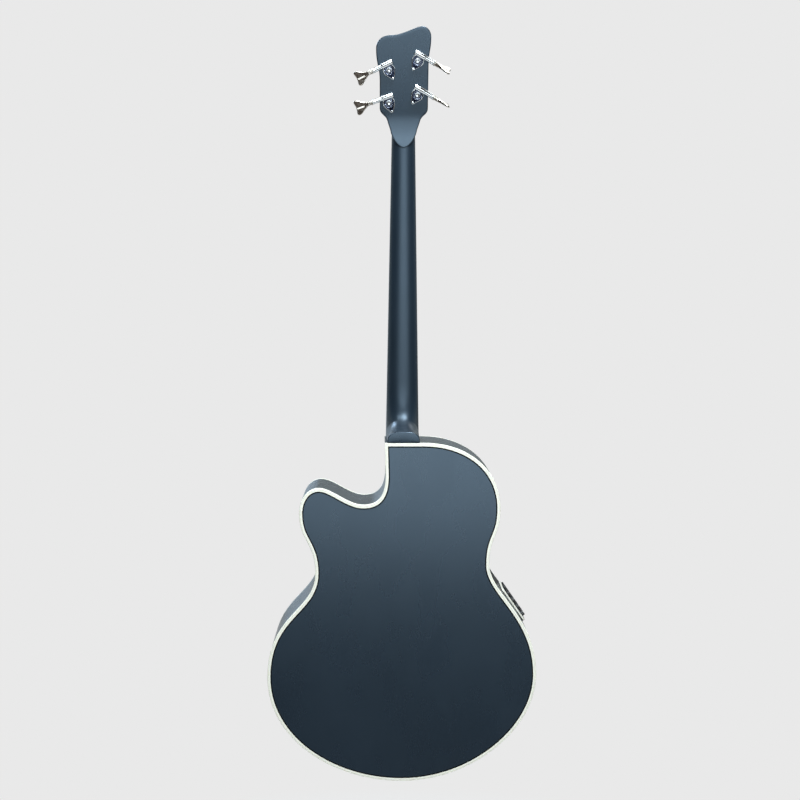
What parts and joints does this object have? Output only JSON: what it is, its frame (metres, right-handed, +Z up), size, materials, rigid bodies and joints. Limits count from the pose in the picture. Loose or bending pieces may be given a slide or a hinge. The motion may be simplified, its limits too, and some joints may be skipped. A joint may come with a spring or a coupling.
{
  "type": "acoustic bass guitar",
  "caption": "Long-scale acoustic bass guitar with a deep bound body, single cutaway, slim neck and headstock with open-gear tuning machines.",
  "frame": {"origin": "middle of the nut line on the plane where the fretboard is glued to the neck and the body", "axes": "+Z up the neck to the headstock, +Y out of the soundboard, +X to the bass side"},
  "size_m": [0.4322, 0.1464, 1.2153],
  "materials": {
    "satin_black": "satin lacquer",
    "spruce": "raw",
    "ivory": "polished",
    "dark_wood": "oiled",
    "chrome": "polished",
    "steel": "brushed",
    "black_plastic": "fine grain",
    "bronze": "wound wire",
    "bone": "polished",
    "battery_case": "smooth"
  },
  "bodies": {
    "instrument": {"top_plate": "satin_black", "rosette": "ivory", "back_plate": "satin_black", "binding_top": "ivory", "binding_back": "ivory", "lining_top": "spruce", "lining_back": "spruce", "control_panel": "black_plastic", "battery": "battery_case", "side_bass": "satin_black", "side_treble": "satin_black", "neck_block": "spruce", "tail_block": "spruce", "cross_brace_bass": "spruce", "cross_brace_treble": "spruce", "transverse_brace": "spruce", "bridge_plate": "dark_wood", "back_strip": "spruce", "back_brace_1": "spruce", "back_brace_2": "spruce", "back_brace_3": "spruce", "tuner_housing_e": "chrome", "tuner_bushing_e": "chrome", "tuner_housing_a": "chrome", "tuner_bushing_a": "chrome", "tuner_housing_d": "chrome", "tuner_bushing_d": "chrome", "tuner_housing_g": "chrome", "tuner_bushing_g": "chrome", "truss_rod_cover": "black_plastic", "neck": "satin_black", "heel_cap": "satin_black", "fretboard": "dark_wood", "nut": "bone", "truss_rod": "steel", "bridge": "dark_wood", "saddle": "bone", "bridge_pin_e": "bone", "bridge_pin_a": "bone", "bridge_pin_d": "bone", "bridge_pin_g": "bone", "string_e": "bronze", "string_a": "bronze", "string_d": "bronze", "string_g": "bronze", "end_pin_jack": "chrome"},
    "key_e": {"tuner_key_e": "chrome"},
    "post_e": {"tuner_post_e": "chrome"},
    "key_a": {"tuner_key_a": "chrome"},
    "post_a": {"tuner_post_a": "chrome"},
    "key_d": {"tuner_key_d": "chrome"},
    "post_d": {"tuner_post_d": "chrome"},
    "key_g": {"tuner_key_g": "chrome"},
    "post_g": {"tuner_post_g": "chrome"},
    "knob_1": {"control_knob_1": "black_plastic"},
    "knob_2": {"control_knob_2": "black_plastic"},
    "knob_3": {"control_knob_3": "black_plastic"},
    "knob_4": {"control_knob_4": "black_plastic"},
    "door": {"battery_door": "black_plastic"},
    "rod_nut": {"truss_rod_nut": "steel"}
  },
  "joints": [
    {"name": "key_e_turn", "type": "hinge", "parent": "instrument", "child": "key_e", "pos_m": [0.0263, -0.03593, 0.06124], "axis": [0.866, 0.121, -0.4851], "continuous": true},
    {"name": "post_e_turn", "type": "hinge", "parent": "instrument", "child": "post_e", "pos_m": [0.0214, -0.02854, 0.05433], "axis": [0, -0.9703, -0.2419], "continuous": true},
    {"name": "key_a_turn", "type": "hinge", "parent": "instrument", "child": "key_a", "pos_m": [0.02615, -0.04858, 0.11197], "axis": [0.8746, 0.1173, -0.4704], "continuous": true},
    {"name": "post_a_turn", "type": "hinge", "parent": "instrument", "child": "post_a", "pos_m": [0.0214, -0.04117, 0.10498], "axis": [0, -0.9703, -0.2419], "continuous": true},
    {"name": "key_d_turn", "type": "hinge", "parent": "instrument", "child": "key_d", "pos_m": [-0.02837, -0.04519, 0.09838], "axis": [-0.8949, 0.1079, -0.4329], "continuous": true},
    {"name": "post_d_turn", "type": "hinge", "parent": "instrument", "child": "post_d", "pos_m": [-0.024, -0.03773, 0.0912], "axis": [0, -0.9703, -0.2419], "continuous": true},
    {"name": "key_g_turn", "type": "hinge", "parent": "instrument", "child": "key_g", "pos_m": [-0.02743, -0.03305, 0.04968], "axis": [-0.9367, 0.0847, -0.3398], "continuous": true},
    {"name": "post_g_turn", "type": "hinge", "parent": "instrument", "child": "post_g", "pos_m": [-0.024, -0.02549, 0.0421], "axis": [0, -0.9703, -0.2419], "continuous": true},
    {"name": "knob_1_turn", "type": "hinge", "parent": "instrument", "child": "knob_1", "pos_m": [0.17273, -0.0645, -0.75397], "axis": [0.8212, 0, 0.5707], "range_deg": [-135, 135]},
    {"name": "knob_2_turn", "type": "hinge", "parent": "instrument", "child": "knob_2", "pos_m": [0.18049, -0.0645, -0.76514], "axis": [0.8212, 0, 0.5707], "range_deg": [-135, 135]},
    {"name": "knob_3_turn", "type": "hinge", "parent": "instrument", "child": "knob_3", "pos_m": [0.18825, -0.0645, -0.7763], "axis": [0.8212, 0, 0.5707], "range_deg": [-135, 135]},
    {"name": "knob_4_turn", "type": "hinge", "parent": "instrument", "child": "knob_4", "pos_m": [0.19601, -0.0645, -0.78747], "axis": [0.8212, 0, 0.5707], "range_deg": [-135, 135]},
    {"name": "battery_door_swing", "type": "hinge", "parent": "instrument", "child": "door", "pos_m": [0.18397, -0.0312, -0.76734], "axis": [-0.5707, 0, 0.8212], "range_deg": [0, 95]},
    {"name": "truss_rod_nut_turn", "type": "hinge", "parent": "instrument", "child": "rod_nut", "pos_m": [0, -0.006, 0.006], "axis": [0, 0, 1], "range_deg": [-180, 180]}
  ],
  "couplings": [
    {"joint": "post_e_turn", "follows": "key_e_turn", "ratio": 0.05},
    {"joint": "post_a_turn", "follows": "key_a_turn", "ratio": 0.05},
    {"joint": "post_d_turn", "follows": "key_d_turn", "ratio": -0.05},
    {"joint": "post_g_turn", "follows": "key_g_turn", "ratio": -0.05}
  ]
}
